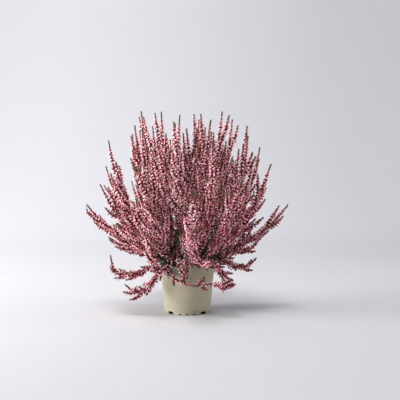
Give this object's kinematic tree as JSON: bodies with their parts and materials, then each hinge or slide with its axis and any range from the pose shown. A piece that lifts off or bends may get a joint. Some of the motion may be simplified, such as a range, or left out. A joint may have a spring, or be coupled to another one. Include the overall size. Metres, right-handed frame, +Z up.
{
  "type": "potted heather",
  "caption": "Bushy flowering heather with upright bud spikes and trailing sprays, growing in a round plastic pot with a rim band and a notched foot.",
  "frame": {"origin": "centre of the pot's base, on the surface that it stands on, under the middle of the plant", "axes": "+Z up along the pot's axis; -Y towards the viewer of the picture; +X to the right as seen there"},
  "size_m": [0.3702, 0.3702, 0.372],
  "materials": {
    "pot_plastic": "matt, thin-walled, taupe",
    "peat": null,
    "bark": "matt woody stems",
    "leaf": null,
    "bud": null
  },
  "bodies": {
    "root": {"pot": "pot_plastic", "potting_soil": "peat", "woody_base_1": "bark", "woody_base_2": "bark", "woody_base_3": "bark", "woody_base_4": "bark", "woody_base_5": "bark", "leafy_shoot_01": "leaf", "leafy_shoot_02": "leaf", "leafy_shoot_03": "leaf", "leafy_shoot_04": "leaf", "leafy_shoot_05": "leaf", "flower_spike_01": "bud", "flower_spike_02": "bud", "flower_spike_03": "bud", "flower_spike_04": "bud", "flower_spike_05": "bud", "flower_spike_06": "bud", "flower_spike_07": "bud", "flower_spike_08": "bud", "flower_spike_09": "bud", "flower_spike_10": "bud", "flower_spike_11": "bud", "flower_spike_12": "bud", "flower_spike_13": "bud", "flower_spike_14": "bud", "flower_spike_15": "bud", "flower_spike_16": "bud", "flower_spike_17": "bud", "flower_spike_18": "bud", "flower_spike_19": "bud", "flower_spike_20": "bud", "flower_spike_21": "bud", "flower_spike_22": "bud", "flower_spike_23": "bud", "flower_spike_24": "bud", "flower_spike_25": "bud", "flower_spike_26": "bud", "flower_spike_27": "bud", "flower_spike_28": "bud", "flower_spike_29": "bud", "flower_spike_30": "bud", "flower_spike_31": "bud", "flower_spike_32": "bud", "flower_spike_33": "bud", "flower_spike_34": "bud", "flower_spike_35": "bud", "flower_spike_36": "bud", "flower_spike_37": "bud", "flower_spike_38": "bud", "flower_spike_39": "bud", "flower_spike_40": "bud", "flower_spike_41": "bud", "flower_spike_42": "bud", "flower_spike_43": "bud", "flower_spike_44": "bud", "flower_spike_45": "bud", "flower_spike_46": "bud", "flower_spike_47": "bud", "flower_spike_48": "bud"}
  },
  "joints": []
}
